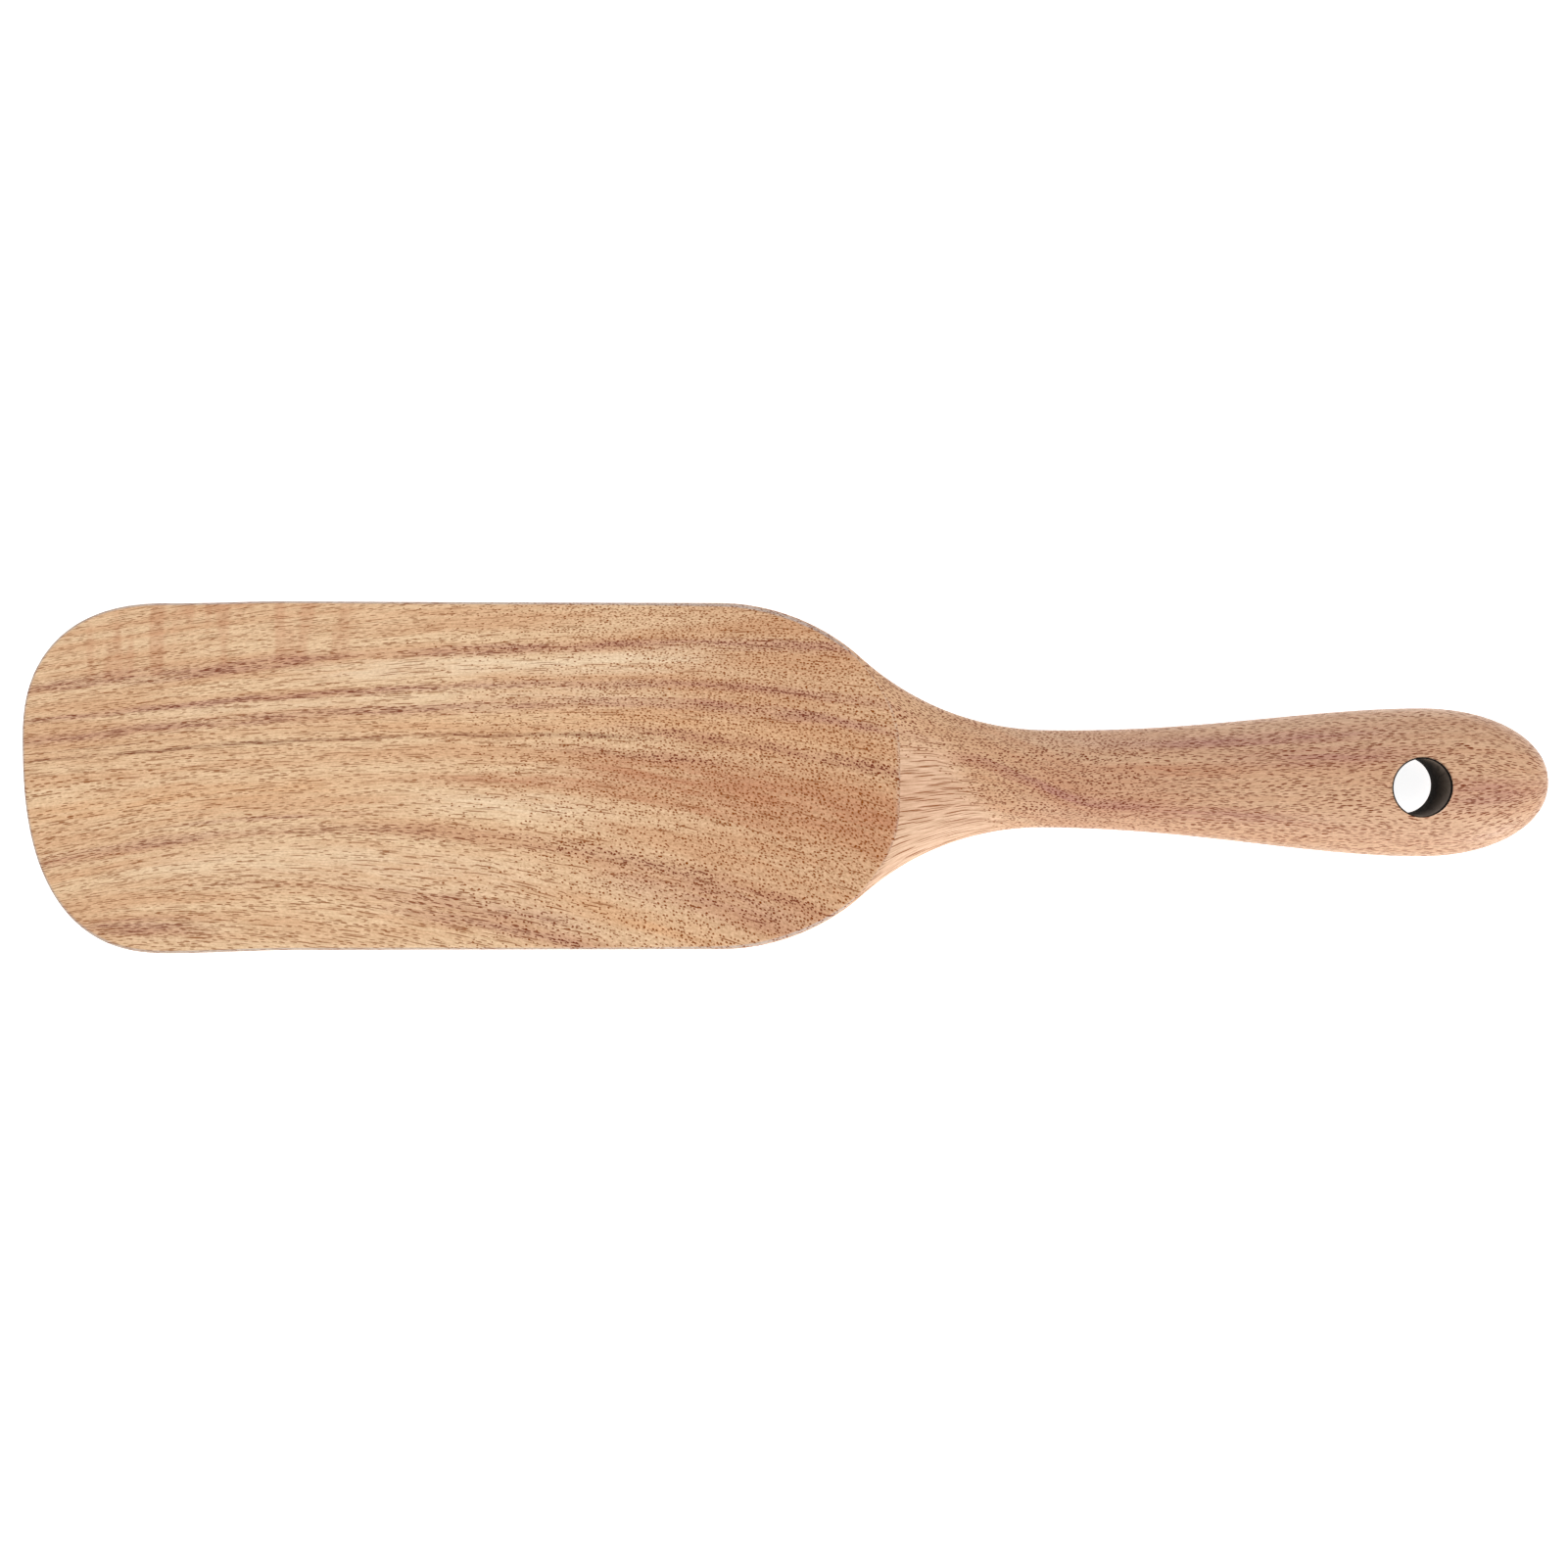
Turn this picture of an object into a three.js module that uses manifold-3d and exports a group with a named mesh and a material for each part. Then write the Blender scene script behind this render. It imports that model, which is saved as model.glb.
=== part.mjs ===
// Wooden kitchen spatula, carved from one board
// A broad planed blade runs into a waisted neck and an oval handle with a hanging hole.
// Millimetres. +X runs from the blade tip to the handle butt, +Z is up, the blade's back lies on Z = 0.

import * as THREE from "three";
import { mergeVertices } from "three/addons/utils/BufferGeometryUtils.js";
import Module from "manifold-3d";

const { lerp, clamp, smoothstep } = THREE.MathUtils;

// Plan sizes
const OVERALL_LENGTH = 325;
const BLADE_WIDTH = 75.1;
const SHOULDER_WIDTH = 73.7;
const SIDE_HOLLOW = 0.07;
const NOSE_LENGTH = 31.7;
const NOSE_OFFSET = 7.88;
const NOSE_SWAY = -0.58;
const SWAY_LENGTH = 26.5;
const HIGH_NOSE_SQUARENESS = 2.39;
const LOW_NOSE_SQUARENESS = 2.54;
const TIP_TO_SHOULDER = 149.2;
const SHOULDER_RADIUS = 46.2;
const TIP_TO_NECK = 219;
const NECK_WIDTH = 20.8;
const AXIS_OFFSET = 0.39;
const HANDLE_WIDTH = 31.4;
const HANDLE_BEND = -1.2;
const SWELL_DELAY = 1.15;
const BUTT_LENGTH = 26.9;
const BUTT_SQUARENESS = 2.08;

// Side sizes
const TIP_THICKNESS = 3.2;
const CREASE_HEIGHT = 10.8;
const TIP_TO_ROOT = 172;
const TIP_TO_CREASE = 187;
const TIP_TO_DIP = 202;
const STOCK_AT_TIP = 0.4;
const STOCK_AT_ROOT = 1.4;
const DIP_THICKNESS = 9;
const DIP_RELIEF = 1.2;
const HANDLE_THICKNESS = 17.2;
const HANDLE_LIFT = 0.8;
const EDGE_SOFTNESS = 0.3;

// Section squareness: 2 is an ellipse, more is squarer
const BLADE_SQUARENESS = 10;
const HANDLE_SQUARENESS = 2.4;

// Hanging hole
const HOLE_DIAMETER = 12;
const HOLE_INSET = 28.5;
const HOLE_OFFSET = -0.8;
const CUT_CLEARANCE = 5;

// Finish
const WOOD_COLOUR = 0xcfa583;
const WOOD_ROUGHNESS = 0.62;

// How finely the curves are divided
const NOSE_STEPS = 14;
const SIDE_STEPS = 62;
const BUTT_STEPS = 10;
const HOLE_STEPS = 48;
const RING_SHARES = [1, 0.996, 0.985, 0.95, 0.85, 0.65, 0.35, 0];

// Stations along X, and the handle's height
const TIP_X = -OVERALL_LENGTH / 2;
const BUTT_X = OVERALL_LENGTH / 2;
const NOSE_X = TIP_X + NOSE_LENGTH;
const SHOULDER_X = TIP_X + TIP_TO_SHOULDER;
const ROOT_X = TIP_X + TIP_TO_ROOT;
const CREASE_X = TIP_X + TIP_TO_CREASE;
const DIP_X = TIP_X + TIP_TO_DIP;
const NECK_X = TIP_X + TIP_TO_NECK;
const WIDEST_X = BUTT_X - BUTT_LENGTH;
const HOLE_X = BUTT_X - HOLE_INSET;
const HANDLE_TOP = HANDLE_LIFT + HANDLE_THICKNESS;

// The shoulder arc and the neck arc meet in one tangent
const SHOULDER_DROP = (SHOULDER_WIDTH - NECK_WIDTH) / 2;
const SHOULDER_RUN = NECK_X - SHOULDER_X;
const TURN = 2 * Math.atan(SHOULDER_DROP / SHOULDER_RUN);
const NECK_RADIUS = SHOULDER_RUN / Math.sin(TURN) - SHOULDER_RADIUS;
const TANGENT_X = SHOULDER_X + SHOULDER_RADIUS * Math.sin(TURN);

// Plan view
function halfWidth(x) {
  if (x <= SHOULDER_X) {
    const share = (x - NOSE_X) / (SHOULDER_X - NOSE_X);
    const straight = lerp(BLADE_WIDTH, SHOULDER_WIDTH, share) / 2;
    return straight - SIDE_HOLLOW * 4 * share * (1 - share);
  }
  if (x <= TANGENT_X) {
    const fall = SHOULDER_RADIUS - Math.sqrt(SHOULDER_RADIUS ** 2 - (x - SHOULDER_X) ** 2);
    return SHOULDER_WIDTH / 2 - fall;
  }
  if (x <= NECK_X) {
    const rise = NECK_RADIUS - Math.sqrt(NECK_RADIUS ** 2 - (NECK_X - x) ** 2);
    return NECK_WIDTH / 2 + rise;
  }
  const share = clamp((x - NECK_X) / (WIDEST_X - NECK_X), 0, 1) ** SWELL_DELAY;
  return lerp(NECK_WIDTH, HANDLE_WIDTH, smoothstep(share, 0, 1)) / 2;
}

function centreLine(x) {
  const sway = NOSE_SWAY * (1 - smoothstep(x, NOSE_X, NOSE_X + SWAY_LENGTH));
  return AXIS_OFFSET + sway + HANDLE_BEND * smoothstep(x, SHOULDER_X, WIDEST_X);
}

function spineLine(x) {
  return centreLine(x) + NOSE_OFFSET * (1 - smoothstep(x, NOSE_X, SHOULDER_X));
}

// Side view
function planedFace(x) {
  return lerp(TIP_THICKNESS, CREASE_HEIGHT, (x - TIP_X) / (CREASE_X - TIP_X));
}

function topLimit(x) {
  return x < DIP_X ? planedFace(x) : Infinity;
}

function stock(x) {
  return lerp(STOCK_AT_TIP, STOCK_AT_ROOT, clamp((x - TIP_X) / (ROOT_X - TIP_X), 0, 1));
}

function crownLine(x) {
  const root = planedFace(Math.min(x, ROOT_X)) + stock(x);
  const dip = lerp(root, DIP_RELIEF + DIP_THICKNESS, smoothstep(x, ROOT_X, DIP_X));
  return lerp(dip, HANDLE_TOP, smoothstep(x, DIP_X, WIDEST_X));
}

function bellyLine(x) {
  const dip = lerp(-stock(x), DIP_RELIEF, smoothstep(x, ROOT_X, DIP_X));
  return lerp(dip, HANDLE_LIFT, smoothstep(x, DIP_X, WIDEST_X));
}

function squareness(x) {
  const share = smoothstep(x, ROOT_X, DIP_X);
  return BLADE_SQUARENESS * (HANDLE_SQUARENESS / BLADE_SQUARENESS) ** share;
}

function softMin(a, b) {
  const near = Math.max(EDGE_SOFTNESS - Math.abs(a - b), 0) / EDGE_SOFTNESS;
  return Math.min(a, b) - near * near * EDGE_SOFTNESS / 4;
}

// Top and bottom heights at a share of the way from the spine to the outline
function heights(x, share) {
  const crown = crownLine(x);
  const belly = bellyLine(x);
  const widest = (Math.min(topLimit(x), crown) + Math.max(0, belly)) / 2;
  const power = squareness(x);
  const rounding = Math.max(0, 1 - share ** power) ** (1 / power);
  return {
    top: softMin(topLimit(x), widest + (crown - widest) * rounding),
    bottom: -softMin(0, (widest - belly) * rounding - widest),
  };
}

// Outline, anticlockwise from the tip, each point with the spine point that it faces
function quarterArc(steps, foot, reach, height, power, fromEnd) {
  const points = [];
  for (let step = 0; step < steps; step += 1) {
    const angle = (fromEnd ? step : steps - step) / steps * Math.PI / 2;
    const along = Math.max(0, Math.cos(angle)) ** (2 / power);
    const across = Math.sin(angle) ** (2 / power);
    const edge = new THREE.Vector2(foot.x + reach * along, foot.y + height * across);
    points.push({ edge, foot });
  }
  return points;
}

function sideRun(steps, fromX, toX, side) {
  const points = [];
  for (let step = 0; step < steps; step += 1) {
    const x = lerp(fromX, toX, step / steps);
    const foot = new THREE.Vector2(x, spineLine(x));
    const edge = new THREE.Vector2(x, centreLine(x) + side * halfWidth(x));
    points.push({ edge, foot });
  }
  return points;
}

function outline() {
  const noseFoot = new THREE.Vector2(NOSE_X, spineLine(NOSE_X));
  const buttFoot = new THREE.Vector2(WIDEST_X, spineLine(WIDEST_X));
  const lowNose = -halfWidth(NOSE_X) - NOSE_OFFSET;
  const highNose = halfWidth(NOSE_X) - NOSE_OFFSET;
  const buttHalf = halfWidth(WIDEST_X);
  return [
    ...quarterArc(NOSE_STEPS, noseFoot, -NOSE_LENGTH, lowNose, LOW_NOSE_SQUARENESS, true),
    ...sideRun(SIDE_STEPS, NOSE_X, WIDEST_X, -1),
    ...quarterArc(BUTT_STEPS, buttFoot, BUTT_LENGTH, -buttHalf, BUTT_SQUARENESS, false),
    ...quarterArc(BUTT_STEPS, buttFoot, BUTT_LENGTH, buttHalf, BUTT_SQUARENESS, true),
    ...sideRun(SIDE_STEPS, WIDEST_X, NOSE_X, 1),
    ...quarterArc(NOSE_STEPS, noseFoot, -NOSE_LENGTH, highNose, HIGH_NOSE_SQUARENESS, false),
  ];
}

// Skin: rings from the outline in to the spine, over the top and under the bottom
function ringPoint(station, share, side) {
  const plan = station.foot.clone().lerp(station.edge, share);
  return new THREE.Vector3(plan.x, plan.y, heights(plan.x, share)[side]);
}

function addTriangle(positions, a, b, c) {
  const area = b.clone().sub(a).cross(c.clone().sub(a)).length();
  if (area > 1e-7) {
    positions.push(...a.toArray(), ...b.toArray(), ...c.toArray());
  }
}

function carvedSkin() {
  const stations = outline();
  const positions = [];
  for (const side of ["top", "bottom"]) {
    stations.forEach((station, index) => {
      const following = stations[(index + 1) % stations.length];
      const [here, next] = side === "top" ? [station, following] : [following, station];
      for (let ring = 0; ring + 1 < RING_SHARES.length; ring += 1) {
        const outer = RING_SHARES[ring];
        const inner = RING_SHARES[ring + 1];
        const a = ringPoint(here, outer, side);
        const b = ringPoint(next, outer, side);
        const c = ringPoint(next, inner, side);
        const d = ringPoint(here, inner, side);
        addTriangle(positions, a, b, c);
        addTriangle(positions, a, c, d);
      }
    });
  }
  const geometry = new THREE.BufferGeometry();
  geometry.setAttribute("position", new THREE.Float32BufferAttribute(positions, 3));
  return geometry;
}

function holeCutter() {
  const radius = HOLE_DIAMETER / 2;
  const depth = HANDLE_TOP + 2 * CUT_CLEARANCE;
  const geometry = new THREE.CylinderGeometry(radius, radius, depth, HOLE_STEPS);
  geometry.rotateX(Math.PI / 2);
  geometry.translate(HOLE_X, centreLine(HOLE_X) + HOLE_OFFSET, HANDLE_TOP / 2);
  return geometry;
}

// Booleans
const wasm = await Module();
wasm.setup();

function toSolid(geometry) {
  geometry.deleteAttribute("normal");
  geometry.deleteAttribute("uv");
  const welded = mergeVertices(geometry, 1e-4);
  const vertProperties = new Float32Array(welded.attributes.position.array);
  const triVerts = new Uint32Array(welded.index.array);
  return new wasm.Manifold(new wasm.Mesh({ numProp: 3, vertProperties, triVerts }));
}

function toGeometry(solid) {
  const mesh = solid.getMesh();
  const geometry = new THREE.BufferGeometry();
  geometry.setAttribute("position", new THREE.BufferAttribute(mesh.vertProperties, 3));
  geometry.setIndex(new THREE.BufferAttribute(mesh.triVerts, 1));
  geometry.computeVertexNormals();
  return geometry;
}

const wood = new THREE.MeshStandardMaterial({
  color: WOOD_COLOUR,
  roughness: WOOD_ROUGHNESS,
  metalness: 0,
});
wood.name = "wood";

const body = new THREE.Mesh(toGeometry(toSolid(carvedSkin()).subtract(toSolid(holeCutter()))), wood);
body.name = "spatula_body";

const spatula = new THREE.Group();
spatula.name = "wooden_spatula";
spatula.add(body);

export default spatula;
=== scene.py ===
"""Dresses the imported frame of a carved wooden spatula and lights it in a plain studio."""

import logging
import math
from dataclasses import dataclass, field
from enum import Enum

import bpy
import numpy as np
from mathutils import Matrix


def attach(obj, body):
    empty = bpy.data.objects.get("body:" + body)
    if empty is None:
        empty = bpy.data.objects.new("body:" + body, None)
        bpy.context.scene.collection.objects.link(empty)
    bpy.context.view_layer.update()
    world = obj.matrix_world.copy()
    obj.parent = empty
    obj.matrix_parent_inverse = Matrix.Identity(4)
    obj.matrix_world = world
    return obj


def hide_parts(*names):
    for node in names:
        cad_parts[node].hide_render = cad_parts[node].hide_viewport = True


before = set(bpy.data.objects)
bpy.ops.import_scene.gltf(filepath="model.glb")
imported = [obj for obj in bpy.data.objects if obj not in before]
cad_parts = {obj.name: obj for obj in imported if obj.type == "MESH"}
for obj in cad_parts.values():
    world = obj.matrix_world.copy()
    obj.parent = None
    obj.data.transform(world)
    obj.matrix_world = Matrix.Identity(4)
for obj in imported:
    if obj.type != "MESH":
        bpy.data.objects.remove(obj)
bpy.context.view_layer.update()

MM = 0.001
PHOTO_PIXELS = 1601
WHITE = "ffffff"
ROW_SHIFT = 50.0
Array = np.ndarray
Colour = tuple[float, float, float, float]
Socket = bpy.types.NodeSocket
Value = Socket | float
Paint = Socket | str
Input = Value | str
Inputs = dict[int, Input] | dict[str, Input]
Place = tuple[Socket, Socket]
Owner = bpy.types.Material | bpy.types.World
Size = tuple[float, float]
Fade = tuple[float, float]
Step = tuple[float, float, float, float]

log = logging.getLogger("spatula")


def ease(value: Array, start: float, end: float) -> Array:
    """Smooth step from 0 at start to 1 at end."""
    share = np.clip((value - start) / (end - start), 0.0, 1.0)
    return share * share * (3.0 - 2.0 * share)


def blend(first: Array, second: Array, share: Array) -> Array:
    """Straight blend from first at share 0 to second at share 1."""
    return first + (second - first) * share


def rounded(turn: Array, squareness: float) -> tuple[Array, Array]:
    """Shares along and across of the points round a corner of this squareness, by their turn."""
    return np.abs(np.cos(turn)) ** (2 / squareness), np.sin(turn) ** (2 / squareness)


def linear(shade: float) -> float:
    """Linear light of a screen value from 0 to 1, by the sRGB rule."""
    return ((shade + 0.055) / 1.055) ** 2.4 if shade > 0.04045 else shade / 12.92


def colour_of(code: str) -> Colour:
    """Linear colour of a six-figure colour code, with full alpha."""
    red, green, blue = (linear(int(code[i:i + 2], 16) / 255) for i in (0, 2, 4))
    return red, green, blue, 1.0


class Side(Enum):
    """The two sides of the spatula's centre line, by the sign of Y."""

    LOW = -1
    HIGH = 1


class Face(Enum):
    """The two skins of the spatula, in the order that their heights are worked out."""

    TOP = "top"
    BOTTOM = "bottom"


class Carried(Enum):
    """Vectors that the mesh carries for its finishes."""

    BLADE = "on_blade"
    HANDLE = "on_handle"
    CUT = "cut"


class Tone(Enum):
    """Colours that the growth bands of the wood can have."""

    CREAM = "f1d6b3"
    HONEY = "dfaa7a"
    RUST = "bb7650"
    UMBER = "bd8566"
    MAUVE = "b67e6d"
    INK = "7a3a00"


@dataclass(frozen=True)
class CarvedForm:
    """Sizes of the carved board, and the lines and surfaces that follow from them, in millimetres."""

    overall_length: float = 325
    blade_width: float = 75.1
    shoulder_width: float = 73.7
    side_hollow: float = 0.07
    nose_length: float = 31.7
    nose_offset: float = 7.88
    nose_sway: float = -0.58
    sway_length: float = 26.5
    high_nose_squareness: float = 2.39
    low_nose_squareness: float = 2.54
    shoulder_x: float = -13.3
    shoulder_radius: float = 46.2
    neck_x: float = 56.5
    neck_width: float = 20.8
    axis_offset: float = 0.39
    handle_width: float = 31.4
    handle_bend: float = -1.2
    swell_delay: float = 1.15
    butt_length: float = 26.9
    butt_squareness: float = 2.08
    tip_thickness: float = 3.2
    crease_height: float = 10.8
    root_x: float = 9.5
    tip_to_crease: float = 187
    dip_x: float = 39.5
    stock_at_tip: float = 0.4
    stock_at_root: float = 1.4
    dip_thickness: float = 9
    dip_relief: float = 1.2
    handle_thickness: float = 17.2
    handle_lift: float = 0.8
    edge_softness: float = 0.3
    tip_round: float = 0.6
    side_round: float = 0.8
    shoulder_round: float = 1.4
    blade_squareness: float = 10.0
    handle_squareness: float = 2.4
    hole_diameter: float = 12
    hole_inset: float = 28.5
    hole_offset: float = -0.8
    least_planed: float = -2
    arc_points: int = 800
    side_points: int = 4000

    @property
    def tip_x(self) -> float:
        """Station of the blade's tip."""
        return -self.overall_length / 2

    @property
    def butt_x(self) -> float:
        """Station of the handle's end."""
        return self.overall_length / 2

    @property
    def nose_x(self) -> float:
        """Station where the rounded nose meets the straight sides."""
        return self.tip_x + self.nose_length

    @property
    def widest_x(self) -> float:
        """Station where the handle is widest and thickest."""
        return self.butt_x - self.butt_length

    @property
    def turn(self) -> float:
        """Angle that the shoulder turns in by, and the neck turns back by."""
        drop = (self.shoulder_width - self.neck_width) / 2
        return 2 * math.atan(drop / (self.neck_x - self.shoulder_x))

    @property
    def neck_radius(self) -> float:
        """Radius of the neck's hollow, tangent to the shoulder's round."""
        return (self.neck_x - self.shoulder_x) / math.sin(self.turn) - self.shoulder_radius

    @property
    def hole_centre(self) -> tuple[float, float]:
        """Centre of the hanging hole in plan."""
        x = self.butt_x - self.hole_inset
        return x, float(self.centre_line(np.array(x))) + self.hole_offset

    def half_width(self, x: Array) -> Array:
        """Half of the plan width at each station from the nose to the handle's widest place.

        Args:
            x: Stations along the length.

        Returns:
            Half widths.
        """
        along = (x - self.nose_x) / (self.shoulder_x - self.nose_x)
        hollow = self.side_hollow * 4 * along * (1 - along)
        blade = blend(self.blade_width, self.shoulder_width, along) / 2 - hollow
        inner = np.maximum(self.shoulder_radius**2 - (x - self.shoulder_x) ** 2, 0)
        shoulder = self.shoulder_width / 2 - self.shoulder_radius + np.sqrt(inner)
        outer = np.maximum(self.neck_radius**2 - (self.neck_x - x) ** 2, 0)
        neck = self.neck_width / 2 + self.neck_radius - np.sqrt(outer)
        swell = np.clip((x - self.neck_x) / (self.widest_x - self.neck_x), 0, 1) ** self.swell_delay
        handle = blend(self.neck_width, self.handle_width, ease(swell, 0, 1)) / 2
        tangent_x = self.shoulder_x + self.shoulder_radius * math.sin(self.turn)
        stretches = [x <= self.shoulder_x, x <= tangent_x, x <= self.neck_x]
        return np.select(stretches, [blade, shoulder, neck], handle)

    def centre_line(self, x: Array) -> Array:
        """Sideways place of the middle of the outline, which sways a little at both ends."""
        sway = self.nose_sway * (1 - ease(x, self.nose_x, self.nose_x + self.sway_length))
        return self.axis_offset + sway + self.handle_bend * ease(x, self.shoulder_x, self.widest_x)

    def nose_power(self, side: Array) -> Array:
        """Squareness of the nose's corner on each side."""
        return np.where(side < 0, self.low_nose_squareness, self.high_nose_squareness)

    def spine(self, x: Array) -> Array:
        """Sideways place of the line that the section's rounding is measured from."""
        return self.centre_line(x) + self.nose_offset * (1 - ease(x, self.nose_x, self.shoulder_x))

    def planed_face(self, x: Array) -> Array:
        """Height of the flat planed face of the blade."""
        return blend(self.tip_thickness, self.crease_height, (x - self.tip_x) / self.tip_to_crease)

    def stock(self, x: Array) -> Array:
        """Height of the rounded blank above the planed face on the blade."""
        along = np.clip((x - self.tip_x) / (self.root_x - self.tip_x), 0, 1)
        return blend(self.stock_at_tip, self.stock_at_root, along)

    def crown(self, x: Array) -> Array:
        """Height of the rounded blank's ridge."""
        root = self.planed_face(np.minimum(x, self.root_x)) + self.stock(x)
        return self.past_dip(x, root, self.dip_thickness, self.handle_thickness)

    def belly(self, x: Array) -> Array:
        """Height of the rounded blank's underside."""
        return self.past_dip(x, -self.stock(x))

    def past_dip(self, x: Array, root: Array, dip: float = 0.0, handle: float = 0.0) -> Array:
        """Height that eases from the root to these heights over the dip and the handle's underside."""
        low = blend(root, self.dip_relief + dip, ease(x, self.root_x, self.dip_x))
        return blend(low, self.handle_lift + handle, ease(x, self.dip_x, self.widest_x))

    def soft_min(self, first: Array, second: Array) -> Array:
        """The lower of two heights, with the edge between them eased."""
        near = np.maximum(self.edge_softness - np.abs(first - second), 0) / self.edge_softness
        return np.minimum(first, second) - near * near * self.edge_softness / 4

    def reach(self, x: Array, y: Array) -> Array:
        """Share of the way from the spine to the outline.

        Args:
            x: Places along the length.
            y: Places across.

        Returns:
            0 on the spine, 1 on the outline.
        """
        foot_x = np.clip(x, self.nose_x, self.widest_x)
        spine = self.spine(foot_x)
        side = np.where(y < spine, -1.0, 1.0)
        edge = self.centre_line(foot_x) + side * self.half_width(foot_x)
        across = np.abs((y - spine) / (edge - spine))
        on_nose = x < self.nose_x
        along = np.abs(x - foot_x) / np.where(on_nose, self.nose_length, self.butt_length)
        power = np.where(on_nose, self.nose_power(side), self.butt_squareness)
        return (along**power + across**power) ** (1 / power)

    def face(self, x: Array) -> Array:
        """Height that the plane leaves: the planed face on the blade, no limit on the handle."""
        return np.where(x < self.dip_x, self.planed_face(x), self.overall_length)

    def blank(self, x: Array, reach: Array) -> tuple[Array, Array]:
        """Top and bottom of the rounded blank, before its faces are planed.

        Args:
            x: Places along the length.
            reach: Shares of the way from the spine to the outline.

        Returns:
            Heights of the top and of the bottom.
        """
        crown = self.crown(x)
        belly = self.belly(x)
        widest = (np.minimum(self.face(x), crown) + np.maximum(0, belly)) / 2
        thinner = self.handle_squareness / self.blade_squareness
        power = self.blade_squareness * thinner ** ease(x, self.root_x, self.dip_x)
        rounding = np.maximum(0, 1 - reach**power) ** (1 / power)
        return widest + (crown - widest) * rounding, widest + (belly - widest) * rounding

    def edge_drop(self, x: Array, reach: Array) -> Array:
        """How far the rounded-over edge of a planed face lies below the face.

        Args:
            x: Places along the length.
            reach: Shares of the way from the spine to the outline.

        Returns:
            Depths, zero away from the edge.
        """
        radius = blend(self.tip_round, self.side_round, ease(x, self.tip_x, self.nose_x))
        towards_root = ease(x, self.shoulder_x - self.nose_length, self.root_x)
        radius = blend(radius, self.shoulder_round, towards_root)
        inset = (1 - reach) * self.half_width(np.clip(x, self.nose_x, self.widest_x))
        near = np.clip(1 - inset / radius, 0, 1)
        return radius * (1 - np.sqrt(1 - near * near))

    def heights(self, x: Array, reach: Array) -> tuple[Array, Array]:
        """Top and bottom of the carved board.

        Args:
            x: Places along the length.
            reach: Shares of the way from the spine to the outline.

        Returns:
            Heights of the top and of the bottom.
        """
        top, bottom = self.blank(x, reach)
        drop = self.edge_drop(x, reach)
        return self.soft_min(self.face(x) - drop, top), -self.soft_min(-drop, -bottom)

    def planed_depth(self, x: Array, y: Array) -> Array:
        """How much the plane took off the blank's top, below zero where it took nothing."""
        top, _ = self.blank(x, np.minimum(self.reach(x, y), 1.0))
        return np.maximum(top - self.face(x), self.least_planed)

    def half_outline(self, side: Side, count: int) -> Array:
        """Evenly spaced points along one side of the outline, from the tip to the butt.

        Args:
            side: Which side of the centre line.
            count: How many steps.

        Returns:
            Plan points, one more than the steps.
        """
        quarter = np.linspace(0, math.pi / 2, self.arc_points)
        nose_y = float(self.spine(np.array(self.nose_x)))
        nose_height = side.value * self.blade_width / 2 - self.nose_offset
        nose_power = float(self.nose_power(np.array(side.value)))
        nose_bow, nose_rise = rounded(quarter, nose_power)
        straight = np.linspace(self.nose_x, self.widest_x, self.side_points)[1:-1]
        butt_rise, butt_bow = rounded(quarter, self.butt_squareness)
        x = [
            self.nose_x - self.nose_length * nose_bow,
            straight,
            self.widest_x + self.butt_length * butt_bow,
        ]
        y = [
            nose_y + nose_height * nose_rise,
            self.centre_line(straight) + side.value * self.half_width(straight),
            self.axis_offset + self.handle_bend + side.value * self.handle_width / 2 * butt_rise,
        ]
        fine = np.column_stack([np.concatenate(x), np.concatenate(y)])
        walked = np.concatenate([[0], np.cumsum(np.linalg.norm(np.diff(fine, axis=0), axis=1))])
        steps = np.linspace(0, walked[-1], count + 1)
        return np.column_stack([np.interp(steps, walked, fine[:, axis]) for axis in (0, 1)])


@dataclass(frozen=True)
class Clouds:
    """Cloudy noise: its size along and across in millimetres, its finer layers, and a seed."""

    along: float
    across: float
    detail: float = 2.0
    seed: float = 0.0


@dataclass(frozen=True)
class Band:
    """One growth band that shows on the surface, in millimetres of the growth coordinates."""

    tone: Tone
    across: float
    half_width: float
    start: float
    end: float
    strength: float


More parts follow.
